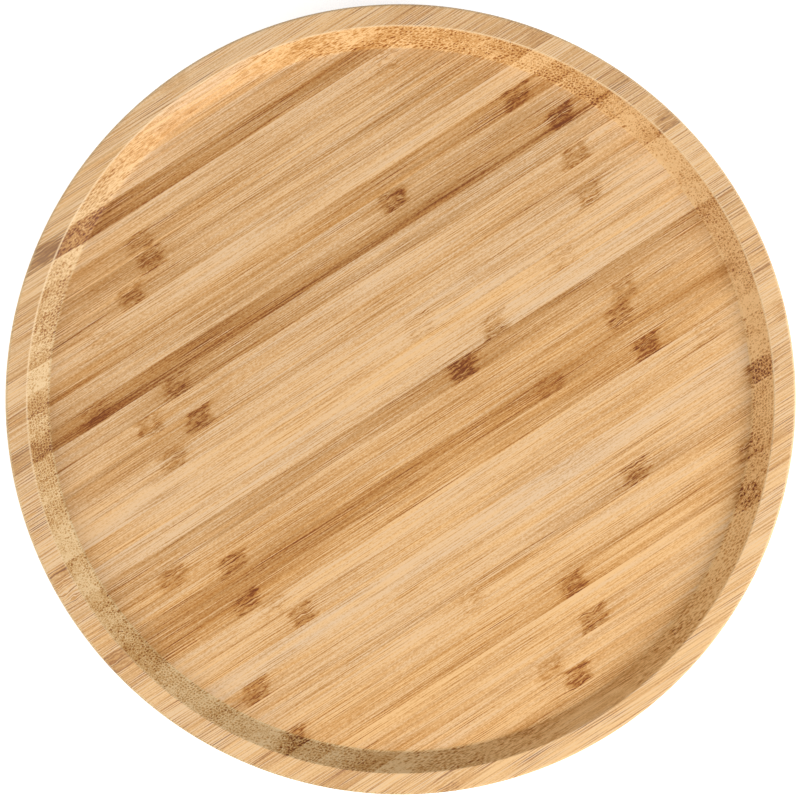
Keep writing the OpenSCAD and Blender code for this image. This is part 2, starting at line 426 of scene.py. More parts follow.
board = {
    "stripWidth": 8.9,       # mm
    "farEdge": 179.0,        # mm, where the first strip starts
    "reach": 180.0,          # mm, the knots' places lie within this of the middle
    "shadeReach": 120.0,     # mm, how far from the middle the left and right shades are met
    "knotLength": 5.0,       # mm, half of a knot along the grain
    "knotSlant": 2.5,        # mm, how much further right a knot lies at the strip's far edge
    "knotRagged": 8.0,       # mm, how uneven its ends are
    "tailLength": 12.0,      # mm, how far the stain beside a knot reaches
    "veinWidth": 0.75,       # mm, half of a dark vein
    "cellWidth": 1.2,        # mm, fibre bundles in the end grain
    "heartHeight": (31.5, 35.5),    # mm, bundles have a dark heart below the first and none above the second: partly painted shade at the wall's foot
    "shadeDepth": 0.8,       # tone of a strip whose shade is 1
    "leanDepth": 0.13,       # how much darker a strip is at its dense edge
    "rimLift": -0.07,        # tone of the rim, against the floor
    # how much each kind of streak or stain darkens the wood, or pales it where it is below zero
    "streaks": {"thin": 1.85, "thick": 0.3, "fine": 0.45, "middling": 0.2,
                "darkThreads": 0.35, "paleThreads": -0.30, "hairLines": 0.16},
    "stains": {"broad": 0.8, "drift": 0.8, "grit": 1.2, "jointDark": 0.55, "jointPale": -0.09},
    # the same in the end grain: bundles, more so in a knot and at the right, their dark heart, the wood
    # between;
    # the change towards the right is partly painted light and shade of that side of the wall, and the dark
    # heart is partly painted shade at its foot
    "bundle": {"plain": 0.55, "inKnot": 0.5, "atRightShading": 0.12},
    "heart": 0.25,
    "between": {"plain": -0.13, "atRightShading": -0.10},
    # colours, from the palest wood to a burnt knot
    "tones": [(0.0, (0.83, 0.54, 0.26)), (0.10, (0.78, 0.49, 0.22)), (0.25, (0.72, 0.43, 0.18)),
              (0.40, (0.66, 0.37, 0.14)), (0.65, (0.56, 0.29, 0.09)), (1.0, (0.44, 0.19, 0.04)),
              (1.35, (0.27, 0.08, 0.01)), (1.7, (0.15, 0.03, 0.0))],
    "grey": (0.95, 1.02, 1.27, 1),      # multiplied in at the two ends of the yellow scale
    "yellow": (1.05, 1.00, 0.93, 1),
    "leftSheenTint": (0.90, 1.00, 1.10, 1),     # the same for the left strips' end grain: a painted sheen, the grey veil of reflected light
}


def lookUp(index, rows):
    # one value in each of four channels for every strip; a ramp holds at most 32 stops, so there are two
    half = len(rows) // 2
    inSecond = index.math("GREATER_THAN", half - 0.5)
    ramps = []
    for start in (0, half):
        stops = [(n / half, row) for n, row in enumerate(rows[start:start + half])]
        ramps.append(colourRamp((index + (0.5 - start)) / half, stops, "CONSTANT"))
    both = mixedColour(index.tree, inSecond, ramps[0]["Color"], ramps[1]["Color"])
    parts = newNode(index.tree, "ShaderNodeSeparateColor", (both,))
    return parts[0], parts[1], parts[2], mixed(inSecond, ramps[0]["Alpha"], ramps[1]["Alpha"])


def knotRow(row):
    # the strip's two knots as values from 0 to 1: place and strength, place and strength
    places, strengths = [*row[5::2], 0, 0][:2], [*row[6::2], 0, 0][:2]
    shares = [place / (2 * board["reach"]) + 0.5 for place in places]
    return [shares[0], strengths[0], shares[1], strengths[1]]


def makeKnots(u, across, knotValues, ragged):
    # for both knots of a strip: the envelope, the dark flanks, the stain along the grain and the paleness
    around, flanks, tails, pale = 0.0, 0.0, 0.0, 0.0
    for share, strength in (knotValues[:2], knotValues[2:]):
        middle = share * (2 * board["reach"]) - board["reach"]
        away = u - middle + (across - 0.5) * board["knotSlant"] + ragged * board["knotRagged"]
        away = abs(away / board["knotLength"])
        inside = ease(away, 0.5, 1.7, 1, 0)
        flank = ease(away, 0.3, 0.85) * ease(away, 0.9, 1.6, 1, 0)
        fade = (away * (-board["knotLength"] / board["tailLength"])).math("EXPONENT")
        around = inside * strength + around
        flanks = flank * strength + flanks
        tails = fade * strength + tails
        isPale = ease(strength, 0.25, 0.45, 1, 0) * strength.math("GREATER_THAN", 0.05)
        pale = inside * isPale + pale
    return around, flanks, tails, pale


def makeBambooGroup():
    # x of Board runs along the grain, y across the strips and z through the board, all in millimetres
    tree, given, result = makeGroup(
        "bambooGrain",
        [("Board", "Vector", None), ("End Grain", "Float", 0.0), ("Streaks", "Float", 1.0)],
        [("Colour", "Color"), ("Roughness", "Float"), ("Height", "Float")])
    u, v, z = split(given["Board"])
    endGrain = given["End Grain"]
    rim = given["Streaks"] - 1

    along = (board["farEdge"] - v) / board["stripWidth"]
    index = along.math("FLOOR")
    across = along.math("FRACT")
    seeded = luck(index) * 400 + u

    left, middle, right, hue = lookUp(index, [row[:4] for row in boardStrips])
    edges = [(row[4] / 2 + 0.5, *boardVeins.get(n, (0, 0)), 1) for n, row in enumerate(boardStrips)]
    denseShare, veinPlace, veinStrength = lookUp(index, edges)[:3]
    knotValues = lookUp(index, [knotRow(row) for row in boardStrips])

    def speckle(length, width, shift=0, source=v, detail=1.0, rough=0.5):
        # uneven noise of the given length along the grain and width across it
        return noise(combine(seeded / length, (source + shift) / width, z / width), 1, detail, rough)

    around, flanks, tails, pale = makeKnots(u, across, knotValues, speckle(9, 1.4))

    # the fibres wave gently, and more around the knots
    calm = speckle(70, 9) * 0.9
    bent = v + calm + speckle(5.5, 2.6) * (around + pale) * 2.4 + speckle(12, 4) * tails * 1.8

    def fibres(length, width, shift):
        # single fibres with sharp edges, each set off from its neighbours
        number = ((bent + shift) / width).math("FLOOR")
        layer = (z / width).math("FLOOR")
        before, here, after = (noise(combine(seeded / length, (number + step) * 5.37, layer), 1, 1)
                               for step in (-1, 0, 1))
        return here - (before + after) * 0.45

    hair = abs(speckle(150, 3.2, 13, bent, 0))
    streaks = {
        "thin": fibres(26, 0.40, 200),
        "thick": fibres(60, 0.86, 260),
        "fine": speckle(30, 0.37, 0, bent, rough=0.6),
        "middling": speckle(70, 0.95, 0, bent),
        "darkThreads": ease(speckle(60, 0.45, 37, bent, 0), 0.14, 0.25),
        "paleThreads": ease(speckle(50, 0.45, 53, bent, 0), 0.15, 0.26),
        "hairLines": ease(hair, 0.012, 0.05, 1, 0)}
    patch = ease(speckle(35, 6, 19), -0.16, 0.16, 0.5, 1.25)
    streakTone = weighted(streaks, board["streaks"]) * patch * given["Streaks"]

    # glue lines: brown on one side of the joint and pale on the other
    joint = along.math("ROUND")
    jointLuck = luck(joint + 0.37)
    fromJoint = (along - joint) * board["stripWidth"]
    jointPatch = ease(noise(combine(u / 45, joint * 3, 0), 1, 1), -0.15, 0.15)
    grit = speckle(1.1, 0.42, rough=0.6)
    stains = {
        "broad": speckle(150, 2.8, 0, bent),
        "drift": speckle(75, 11),
        "grit": grit,
        "jointDark": jointPatch * jointLuck * ease(abs(fromJoint + 0.2), 0.08, 0.36, 1, 0),
        "jointPale": (1.2 - jointLuck) * ease(abs(fromJoint - 0.45), 0.15, 0.5, 1, 0)}

    # shade from left to right, the dense edge and the dark veins
    side = u / board["shadeReach"]
    toLeft = ease(side, -1, 0, 1, 0)
    toRight = ease(side, 0, 1)
    shade = mixed(toRight, mixed(toLeft, middle, left), right)
    lean = across * -2 + 1
    leanTone = (lean + lean * lean * lean) * (denseShare * 2 - 1) * board["leanDepth"]
    fromVein = ((across - veinPlace) * board["stripWidth"] + calm) / board["veinWidth"]
    veinTone = (fromVein * fromVein * -1).math("EXPONENT") * veinStrength * (toLeft * -0.65 + 1)

    # knots: a burnt middle with paler curls, spotted flanks and a stain that streaks along the grain
    core = around * ease(speckle(12, 3.5, 5), -0.2, 0.2, 0.55, 1.3)
    dashes = ease(speckle(3.8, 0.5, 0, bent), -0.15, 0.2)
    spots = ease(speckle(4.5, 1.6, 7, bent), -0.1, 0.2)
    curls = ease(abs(speckle(5, 1.5, 29, bent, 0)), 0.02, 0.08, 1, 0)
    tailStreaks = ease(speckle(16, 0.7, 91, bent), -0.06, 0.2)
    knotTone = (flanks * (spots * 0.45 + 0.05) + core * (dashes * 0.5 + 0.40) + core * curls * -0.35
                + tails * (tailStreaks * 0.55 + 0.06) + pale * (dashes * 0.34 - 0.22))

    # bundles of fibre, cut across: dark dots in a pale net
    cell = combine(u / 40, bent / board["cellWidth"], z / board["cellWidth"])
    fromNet = newNode(tree, "ShaderNodeTexVoronoi", {"Vector": cell, "Scale": 1, "Randomness": 0.65},
                      feature="DISTANCE_TO_EDGE")["Distance"]
    bundles = ease(fromNet, 0.08, 0.28)
    # the bundles darken only near the foot of the wall: partly their own dark heart, partly painted shade in
    # the recess's corner
    heartsAndFootShade = ease(fromNet, 0.2, 0.36) * ease(z, *board["heartHeight"], 1, 0)
    # towards the right the bundles are darker and the wood between them paler: partly painted light and shade
    # of that side of the wall
    bundleDepth = weighted({"inKnot": around, "atRightShading": toRight, "plain": 1}, board["bundle"])
    betweenTone = weighted({"atRightShading": toRight, "plain": 1}, board["between"])
    endTone = (bundles * bundleDepth + heartsAndFootShade * board["heart"] + betweenTone) * endGrain

    # tone, from 0 for the palest wood to 1.7 for a burnt knot
    tone = (shade * board["shadeDepth"] + rim * board["rimLift"] + 0.01 + leanTone + veinTone + streakTone
            + weighted(stains, board["stains"]) + knotTone + endTone)
    darkest = board["tones"][-1][0]
    colour = colourRamp(tone / darkest, [(place / darkest, wood) for place, wood in board["tones"]])["Color"]
    # the end grain is yellower: partly its own oiled colour, partly painted light, the warm glow that light
    # from the wood floor gives the shaded wall
    yellowness = (hue + speckle(60, 1.6, 71, bent) * 1.5 + grit * 0.4 + endGrain * 0.85
                  + streakTone * rim * 1.2)
    tint = mixedColour(tree, yellowness, board["grey"], board["yellow"])
    # painted sheen: the end grain towards the left is greyed, standing for reflected light
    tint = mixedColour(tree, (toLeft * 0.9 + 0.1) * endGrain, tint, board["leftSheenTint"])

    plug(result["Colour"], mixedColour(tree, 1.0, colour, tint, "MULTIPLY"))
    plug(result["Roughness"], streaks["middling"] * 0.2 + endGrain * 0.08 + 0.46)
    plug(result["Height"], streaks["fine"] * 0.6 + bundles * endGrain * -1.2 + around * dashes * -0.8)
    return tree


def makeSandedEdgeHighlightGroup():
    # edges that sandpaper and hands have made pale, with a painted highlight: the pale mix also stands for
    # the light that the rounded edges catch, and for the rim's sheen
    tree, given, result = makeGroup(
        "sandedEdgeAndPaintedHighlight", [("Colour", "Color", (0.5, 0.5, 0.5, 1)), ("Place", "Vector", None),
                       ("EdgeAndHighlight", "Float", 0.0), ("PaleAndHighlight", "Color", (0.90, 0.66, 0.38, 1))],
        [("Colour", "Color")])
    # painted highlight: the pale colour is mixed in where the edges catch the light, and over the rim as a
    # painted sheen
    rubbedAndHighlit = ease(noise(given["Place"], 0.08, 3, 0.6), -0.25, 0.2, 0.6, 1) * given["EdgeAndHighlight"]
    plug(result["Colour"], mixedColour(tree, rubbedAndHighlit, given["Colour"], given["PaleAndHighlight"]))
    return tree


def makeBambooMaterial(name, grainTurn, shift, edgeHighlightShare):
    material, tree, shader = newMaterial(name)
    shader.inputs["Specular IOR Level"].default_value = 0.35
    place, normal = objectPlace(tree, grainTurn, shift)
    grainWay = (cos(radians(grainTurn)), sin(radians(grainTurn)), 0)
    facing = newNode(tree, "ShaderNodeVectorMath", (normal, grainWay), operation="DOT_PRODUCT")["Value"]
    # "edge" holds the sanding with its painted highlight, painted shade on the near side, and the rim's
    # painted sheen
    edge = newNode(tree, "ShaderNodeAttribute", attribute_name="edge")["Fac"]
    grain = useGroup(tree, bambooGroup, {"Board": place, "End Grain": ease(abs(facing), 0.02, 0.28),
                                         "Streaks": ease(edge, 0.05, 0.25, 1, 2)})
    # pale edges: sanding and a painted highlight
    sandedAndHighlit = useGroup(tree, sandedHighlightGroup, {"Colour": grain["Colour"], "Place": place,
                                          "EdgeAndHighlight": edge * edgeHighlightShare})
    plug(shader.inputs["Base Color"], sandedAndHighlit["Colour"])
    plug(shader.inputs["Roughness"], grain["Roughness"])
    addBump(shader, grain["Height"], 0.5, 0.12)
    return material


bambooGroup = makeBambooGroup()
sandedHighlightGroup = makeSandedEdgeHighlightGroup()
wearAndHighlight = {"most": 1.15, "nearPaintedShade": 0.85, "rim": 0.27}    # how pale the boards' edges and the rim are painted: sanding, a painted highlight on the edges, a painted sheen on the rim
print("bamboo shader built:", len(boardStrips), "strips")


# the tray

trayLow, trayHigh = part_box("tray")
tray = {
    "outside": trayHigh.x / mm,
    "bottom": trayLow.z / mm,
    "top": trayHigh.z / mm,
    "floor": mounts["tray_floor"]["pos_m"][2] / mm,
    "rimWidth": 9.5,
    "wallRun": 9.0,
    "lip": 0.6,              # roundings
    "brow": 1.2,
    "cove": 2.0,
    "heel": 3.0,
    "guard": 0.6,            # rings this far from the rim's inner edge keep its pale line narrow: sanding with a painted highlight
    "steps": 288,
    "grainTurn": 32.6,       # degrees
    "screwRing": 62.93,      # mm, where the bearing's screws go in
    "pilotHole": 1.8,
    "pilotDepth": 7.5,
}


def ringSize(radius, turn):
    # how far from a corner its rounding starts, when the outline turns by that angle in radians
    return radius * tan(turn / 2)


def buildTray():
    rimInside = tray["outside"] - tray["rimWidth"]
    floorEdge = rimInside - tray["wallRun"]
    slope = atan2(tray["top"] - tray["floor"], tray["wallRun"])
    share = tray["guard"] / tray["wallRun"]
    guard = (rimInside - tray["guard"], tray["top"] + (tray["floor"] - tray["top"]) * share)
    obj = turned("trayBoard", [(tray["outside"], tray["bottom"]), (tray["outside"], tray["top"]),
                               (rimInside + tray["guard"], tray["top"]), (rimInside, tray["top"]), guard,
                               (floorEdge, tray["floor"])], tray["steps"])
    roundRing(obj, tray["outside"], tray["bottom"], tray["heel"], 6)
    roundRing(obj, tray["outside"], tray["top"], tray["brow"], 5)
    roundRing(obj, rimInside, tray["top"], ringSize(tray["lip"], slope), 3)
    roundRing(obj, floorEdge, tray["floor"], ringSize(tray["cove"], slope), 4)
    cut(obj, rods(onRing(tray["screwRing"], 0, 4), tray["pilotHole"], tray["bottom"] - 1,
                  tray["bottom"] + tray["pilotDepth"]))
    # sanding and a painted highlight on the brow and the lip, and a painted sheen over the rim's top
    markEdgeWearAndHighlight(obj, [(tray["outside"] - tray["brow"] / 3, tray["top"] - tray["brow"] / 3, tray["brow"]),
                    (rimInside, tray["top"], tray["guard"])], wearAndHighlight["rim"])
    smooth(obj)
    return obj


def markEdgeWearAndHighlight(obj, rings, rimSheenAndSandingShare=0):
    # the point attribute "edge" fades from the rings to none at their reach, is weaker on the near side, and
    # has one share all over the rim's top: sanding with a painted highlight on the rounded edges, left weaker
    # on the near side as painted shade, and a painted sheen over the rim's top, partly sanding
    edge = obj.data.attributes.new("edge", "FLOAT", "POINT")
    for n, vertex in enumerate(obj.data.vertices):
        r, z = hypot(vertex.co.x, vertex.co.y) / mm, vertex.co.z / mm
        rimSheenAndSanding = rimSheenAndSandingShare if z > rings[0][1] and r > rings[-1][0] + 0.1 else 0
        # painted shade: the pale highlight is weaker on the near side, as if that side lay in shade
        nearness = max(0, -vertex.co.y / mm / max(r, 1))
        wornAndHighlit = wearAndHighlight["most"] * (1 - wearAndHighlight["nearPaintedShade"] * nearness)
        edge.data[n].value = max(rimSheenAndSanding, *(wornAndHighlit * (1 - hypot(r - ringR, z - ringZ) / reach)
                                          for ringR, ringZ, reach in rings))


trayBoard = buildTray()
trayBoard.data.materials.append(makeBambooMaterial("trayBamboo", tray["grainTurn"], (0, 0, 0), 0.85))
handIn(trayBoard, "tray", "tray")
print("tray board done:", len(trayBoard.data.polygons), "faces")


# the base disc

baseLow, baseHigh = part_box("base_disc")
access = mounts["screwdriver_access"]
base = {
    "outside": baseHigh.x / mm,
    "bottom": baseLow.z / mm,
    "top": baseHigh.z / mm,
    "edge": 1.5,
    "accessRadius": 10.0,
    "accessChamfer": 0.6,
    "plateHole": 1.8,        # pilot holes
    "plateDepth": 7.5,
    "footRing": 84.0,
    "footHole": 1.55,
    "footDepth": 7.7,
    "turn": 45.0,            # degrees, for the base's screws and feet
    "steps": 192,
    "grainTurn": 90.0,
}


def buildBase():
    side = [(base["outside"], base["bottom"]), (base["outside"], base["top"])]
    obj = turned("baseBoard", side, base["steps"])
    roundRing(obj, base["outside"], base["bottom"], base["edge"], 4)
    roundRing(obj, base["outside"], base["top"], base["edge"], 4)
    # sanding and a painted highlight on the disc's rounded edges
    markEdgeWearAndHighlight(obj, [(base["outside"] - base["edge"] / 3, height, base["edge"])
                    for height in (base["bottom"] + base["edge"] / 3, base["top"] - base["edge"] / 3)])
    hole = [place / mm for place in access["pos_m"][:2]]
    cut(obj, rods([hole], base["accessRadius"], base["bottom"] - 1, base["top"] + 1, 64))
    for height in (base["bottom"], base["top"]):
        roundRing(obj, base["accessRadius"], height, base["accessChamfer"], 2, hole)
    cut(obj, rods(onRing(tray["screwRing"], base["turn"], 4), base["plateHole"],
                  base["top"] - base["plateDepth"], base["top"] + 1))
    cut(obj, rods(onRing(base["footRing"], base["turn"], 4), base["footHole"],
                  base["bottom"] - 1, base["bottom"] + base["footDepth"]))
    smooth(obj)
    return obj


baseBoard = buildBase()
baseBoard.data.materials.append(makeBambooMaterial("baseBamboo", base["grainTurn"], (35, 44.5, 12), 0.5))
handIn(baseBoard, "base", "base_disc")
print("base disc done:", len(baseBoard.data.polygons), "faces")


# shader groups for metal, rubber and plastic

def makeScratchGroup():
    # fine scratches in several directions, and smudges
    tree, given, result = makeGroup(
        "scratchedFinish",
        [("Place", "Vector", None), ("Scratches", "Float", 0.5), ("Smudges", "Float", 0.5)],
        [("Shade", "Float"), ("Roughness", "Float"), ("Height", "Float")])
    lines = 0.0
    for turn in (12, 75, 131):
        way = (0.3, 0.2, radians(turn))
        place = newNode(tree, "ShaderNodeMapping", {"Vector": given["Place"], "Rotation": way,
                                                    "Scale": (0.12, 5.0, 0.5)})[0]
        lines = ease(noise(place, 1, 1), 0.16, 0.26).math("MAXIMUM", lines)
    lines = lines * given["Scratches"]
    smudges = noise(given["Place"], 0.14, 4, 0.6) * given["Smudges"]
    plug(result["Shade"], lines * 0.25 + smudges)
    plug(result["Roughness"], lines * 0.15 + smudges * 0.5)
    plug(result["Height"], lines * -1)
    return tree


def makeDustGroup():
    # pale dust that lies on upward faces and in patches
    tree, given, result = makeGroup(
        "dust", [("Colour", "Color", (0.5, 0.5, 0.5, 1)), ("Place", "Vector", None), ("Up", "Float", 0.0),
                 ("Amount", "Float", 0.3), ("Dust", "Color", (0.62, 0.56, 0.47, 1))],
        [("Colour", "Color"), ("Cover", "Float")])
    patches = ease(noise(given["Place"], 0.35, 4, 0.65), -0.12, 0.2)
    lying = given["Up"].math("MAXIMUM", 0) * 0.7 + 0.3
    cover = patches * lying * given["Amount"]
    plug(result["Colour"], mixedColour(tree, cover, given["Colour"], given["Dust"]))
    plug(result["Cover"], cover)
    return tree


scratchGroup = makeScratchGroup()
dustGroup = makeDustGroup()


def addDust(tree, shader, colour, place, normal, amount):
    # dust over the colour; returns how much of the surface it covers
    dusty = useGroup(tree, dustGroup, {"Colour": colour, "Place": place, "Up": split(normal)[2],
                                       "Amount": amount})
    plug(shader.inputs["Base Color"], dusty["Colour"])
    return dusty["Cover"]


def makeMetal(name, dark, light, rough, scratches, smudges, spangle):
    # spangle is the share of the crystal pattern of plated zinc
    material, tree, shader = newMaterial(name, Metallic=1.0)
    place, normal = objectPlace(tree)
    finish = useGroup(tree, scratchGroup, {"Place": place, "Scratches": scratches, "Smudges": smudges})
    crystals = newNode(tree, "ShaderNodeTexVoronoi", {"Vector": place, "Scale": 0.4}, feature="SMOOTH_F1")
    level = (crystals["Distance"] - 0.5) * spangle
    colour = colourRamp(finish["Shade"] + level + 0.5, [(0.1, dark), (0.9, light)])["Color"]
    cover = addDust(tree, shader, colour, place, normal, 0.12)
    plug(shader.inputs["Roughness"], finish["Roughness"] + level * 0.3 + cover * 0.5 + rough)
    plug(shader.inputs["Metallic"], 1 - cover)
    addBump(shader, finish["Height"], 0.3, 0.02)
    return material


def makeSoft(name, dark, light, rough, grain, amount, translucent=0.0):
    # rubber and plastic: moulded grain, with some dust
    material, tree, shader = newMaterial(name)
    place, normal = objectPlace(tree)
    mottle = noise(place, 0.3, 3, 0.6)
    colour = colourRamp(mottle + 0.5, [(0.25, dark), (0.75, light)])["Color"]
    cover = addDust(tree, shader, colour, place, normal, amount)
    plug(shader.inputs["Roughness"], mottle * 0.25 + cover * 0.3 + rough)
    shader.inputs["Subsurface Weight"].default_value = translucent
    shader.inputs["Subsurface Scale"].default_value = mm
    addBump(shader, noise(place, grain, 2), 0.25, 0.05)
    return material


zincMetal = makeMetal("zincPlated", (0.50, 0.51, 0.52), (0.74, 0.74, 0.72), 0.33, 0.5, 0.45, 0.35)
screwMetal = makeMetal("screwZinc", (0.52, 0.52, 0.51), (0.80, 0.79, 0.76), 0.27, 0.35, 0.4, 0.15)
ballMetal = makeMetal("ballSteel", (0.62, 0.62, 0.63), (0.80, 0.80, 0.81), 0.10, 0.3, 0.2, 0.0)
washerMetal = makeMetal("washerSteel", (0.44, 0.44, 0.45), (0.68, 0.68, 0.68), 0.36, 0.6, 0.5, 0.1)
rubberMaterial = makeSoft("footRubber", (0.018, 0.018, 0.019), (0.040, 0.039, 0.038), 0.62, 3.5, 0.10)
nylonMaterial = makeSoft("cageNylon", (0.70, 0.68, 0.61), (0.80, 0.78, 0.72), 0.42, 2.0, 0.08, 0.15)
print("metal, rubber and nylon shaders built")


# bearing plates, balls and cage

bearing = {
    "bottom": base["top"],
    "height": round(tray["bottom"] - base["top"], 3),
    "sheet": 1.0,
    "side": 102.0,
    "corner": 9.0,
    "holeRadius": 2.25,
    "track": 33.0,           # radius of the circle that the balls run on
    "grooveRadius": 2.46,
    "land": 2.2,             # mid height of the raised ring above the plate's own face
    "landOut": 37.38,        # radius where the ring's slope starts
    "slopeOut": 38.98,       # radius where it meets the flange
    "flangeReach": 76.0,     # the flange is turned this far out before it is cut square
    "holeEdge": 26.6,        # inner edge of the lower plate
    "collar": 25.75,         # mid radius of the upper plate's collar
    "lipEdge": 28.1,
    "lipHeight": 0.85,
    "bend": 0.95,            # middle radius of the sheet's bends
    "steps": 128,
    "ballRadius": 2.4,
    "ballCount": 20,
    "cageHalf": 3.9,
    "cageThick": 1.6,
    "pocket": 2.6,
    "plateEdge": 0.12,       # broken edges
    "cageEdge": 0.18,
    "ballSteps": 28,
    "ballFlat": 4.0,         # degrees at each pole that are left flat
    "toolHeight": 30.0,      # of the block and rods that cut the plates
}


def plateProfile(upper):
    # middle line of the pressed sheet, from its inner edge to the flange
    across, up, land, bend = bearing["track"], bearing["height"] / 2, bearing["land"], bearing["bend"]
    r = bearing["grooveRadius"] + bearing["sheet"] / 2
    drop = up - land + bend
    run = ((r + bend) ** 2 - drop ** 2) ** 0.5
    lean = degrees(atan2(drop, run))
    line = arcPoints((across - run, land - bend), bend, 90, lean, 4)
    line += arcPoints((across, up), r, 180 + lean, 360 - lean, 14)[1:]
    line += arcPoints((across + run, land - bend), bend, 180 - lean, 90, 4)[1:]
    line += [(bearing["landOut"], land), (bearing["slopeOut"], bearing["sheet"] / 2),
             (bearing["flangeReach"], bearing["sheet"] / 2)]
    if not upper:
        return bendCorners([(bearing["holeEdge"], land)] + line, bend)
    top = bearing["height"]
    line = [(bearing["lipEdge"], bearing["lipHeight"]), (bearing["collar"], bearing["lipHeight"]),
            (bearing["collar"], top - land)] + [(r, top - z) for r, z in line]
    return bendCorners(line, bend)


def buildPlate(name, upper, turn):
    line = [(r, z + bearing["bottom"]) for r, z in plateProfile(upper)]
    plate = turned(name, line, bearing["steps"], caps=False)
    modify(plate, "sheet", "SOLIDIFY", thickness=bearing["sheet"] * mm, offset=0, use_even_offset=True)
    finishMesh(plate)
    cut(plate, squareTool(), keepInside=True)
    holes = onRing(tray["screwRing"], base["turn"], 4)
    cut(plate, rods(holes, bearing["holeRadius"], 0, bearing["toolHeight"]))
    bevelSharp(plate, bearing["plateEdge"])
    plate.data.transform(Matrix.Rotation(radians(turn), 4, "Z"))
    smooth(plate, 30)
    return plate


def squareTool():
    # upright block with the plate's rounded outline
    deselectAll()
    bpy.ops.mesh.primitive_plane_add(size=bearing["side"] * mm, location=(0, 0, 0))
    block = bpy.context.object
    startEditing(block)
    bpy.ops.mesh.bevel(offset=bearing["corner"] * mm, segments=10, affect="VERTICES")
    bpy.ops.mesh.select_all(action="SELECT")
    bpy.ops.mesh.extrude_region_move(TRANSFORM_OT_translate={"value": (0, 0, bearing["toolHeight"] * mm)})
    finishMesh(block)
    return block


def buildBall():
    # turned from pole to pole, with a tiny flat at each
    pole, steps = 90 - bearing["ballFlat"], bearing["ballSteps"]
    obj = turned("ball", arcPoints((0, 0), bearing["ballRadius"], -pole, pole, steps // 2), steps)
    smooth(obj, 60)
    return obj


def buildCage():
    half, thick = bearing["cageHalf"], bearing["cageThick"] / 2
    inner, outer = bearing["track"] - half, bearing["track"] + half
    middle = bearing["bottom"] + bearing["height"] / 2
    ring = [(inner, -thick), (outer, -thick), (outer, thick), (inner, thick), (inner, -thick)]
    obj = turned("ballCage", [(r, z + middle) for r, z in ring], bearing["steps"], caps=False)
    pockets = onRing(bearing["track"], 0, bearing["ballCount"])
    cut(obj, rods(pockets, bearing["pocket"], middle - 3, middle + 3, 40))
    bevelSharp(obj, bearing["cageEdge"])
    smooth(obj)
    return obj


lowerPlate = buildPlate("lowerPlate", False, 0)
upperPlate = buildPlate("upperPlate", True, base["turn"])
for plate, body, node in ((lowerPlate, "base", "lower_plate"), (upperPlate, "tray", "upper_plate")):
    plate.data.materials.append(zincMetal)
    handIn(plate, body, node)
ballCage = buildCage()
ballCage.data.materials.append(nylonMaterial)
handIn(ballCage, "cage", "ball_cage")
ballModel = buildBall()
ballModel.data.materials.append(ballMetal)
for n in range(bearing["ballCount"]):
    move = seat(bearing["track"], 360 / bearing["ballCount"] * n, bearing["bottom"] + bearing["height"] / 2)
    node = "ball_%d" % (n + 1)
    handIn(copyTo(ballModel, "steelBall%d" % (n + 1), move), node, node)
bpy.data.objects.remove(ballModel)
print("bearing done:", len(lowerPlate.data.polygons), len(upperPlate.data.polygons),
      len(ballCage.data.polygons), "faces")


# screws, washers and feet

plateScrew = {"name": "plateScrew", "thread": 3.5, "length": 8.0, "head": 6.8, "headHeight": 2.0}
footScrew = {"name": "footScrew", "thread": 3.0, "length": 9.0, "head": 5.8, "headHeight": 1.6}
thread = {
    "pitch": 1.2,
    "depth": 0.45,
    "steps": 28,             # around the screw
    "point": 0.75,           # length of the tip, in thread widths
    "ridge": 0.32,           # half of the ridge's foot, in pitches
    "rooted": 0.08,          # how far the ridge's foot lies inside the shank
    "start": 1.2,            # below the head
    "end": 0.7,              # before the tip
    "slot": 0.9,             # width of the cross recess
    "slotTaper": 0.6,        # its width at the bottom, as a share
    "slotSpan": 0.56,        # its length and depth, as shares of the head's width and height
    "slotDepth": 0.62,
    "over": 0.02,            # how far the tool that cuts it stands out of the head
}


def tipStart(size):
    # how far below the head the point begins
    return size["length"] - size["thread"] * thread["point"]


def crossTool(size):
    # tapered cross that is cut into the head
    arms = []
    deep = size["headHeight"] * thread["slotDepth"]
    for turn in (0, 90):
        deselectAll()
        bpy.ops.mesh.primitive_cube_add(size=1, location=(0, 0, 0))
        arm = bpy.context.object
        arm.scale = (size["head"] * thread["slotSpan"] * mm, thread["slot"] * mm, deep * mm)
        applyPlace()
        editOnly(arm, "FACE")
        for face in arm.data.polygons:
            face.select = face.normal.z > 0.9
        bpy.ops.object.mode_set(mode="EDIT")
        bpy.ops.transform.resize(value=(thread["slotTaper"], thread["slotTaper"], 1),
                                 center_override=(0, 0, deep / 2 * mm))
        stopEditing()
        arm.data.transform(Matrix.Rotation(radians(turn), 4, "Z"))
        arm.data.transform(Matrix.Translation((0, 0, (deep / 2 - size["headHeight"] - thread["over"]) * mm)))
        arms.append(arm)
    return joined("crossTool", arms)


